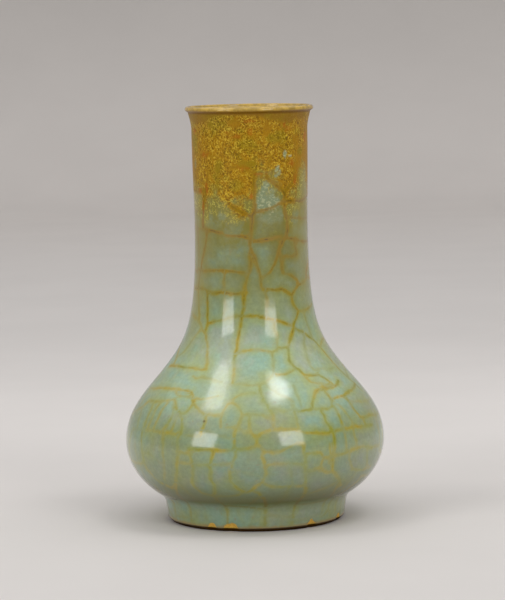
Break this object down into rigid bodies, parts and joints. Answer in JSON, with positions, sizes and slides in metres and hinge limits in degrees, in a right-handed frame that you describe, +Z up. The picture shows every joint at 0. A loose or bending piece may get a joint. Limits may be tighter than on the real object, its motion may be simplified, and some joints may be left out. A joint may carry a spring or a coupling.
{
  "type": "long-neck vase",
  "caption": "Long-neck bottle vase with a low foot ring, a squat round belly, a tall straight neck and a small flared lip, in crackled celadon glaze.",
  "frame": {"origin": "centre of the foot ring, at the level of the surface that the vase stands on", "axes": "+Z up along the vase's axis, towards the mouth; the vase is round, so X and Y are free"},
  "size_m": [0.1504, 0.1504, 0.24],
  "materials": {
    "foot_clay": "bare dark stoneware, matt",
    "body_clay": "orange-tan stoneware under the glaze, matt",
    "slip": "fired slip, matt",
    "outer_glaze": "blue-green celadon glaze with ochre crackle, golden ochre towards the lip, glossy",
    "inner_glaze": "olive-green celadon glaze with crackle, glossy"
  },
  "bodies": {
    "root": {"foot_ring": "foot_clay", "foot_slip": "slip", "lower_belly": "body_clay", "belly_slip": "slip", "upper_belly": "body_clay", "neck_slip": "slip", "neck": "body_clay", "lip_slip": "slip", "lip_rim": "body_clay", "outer_glaze": "outer_glaze", "inner_glaze": "inner_glaze", "base_glaze": "inner_glaze"}
  },
  "joints": []
}
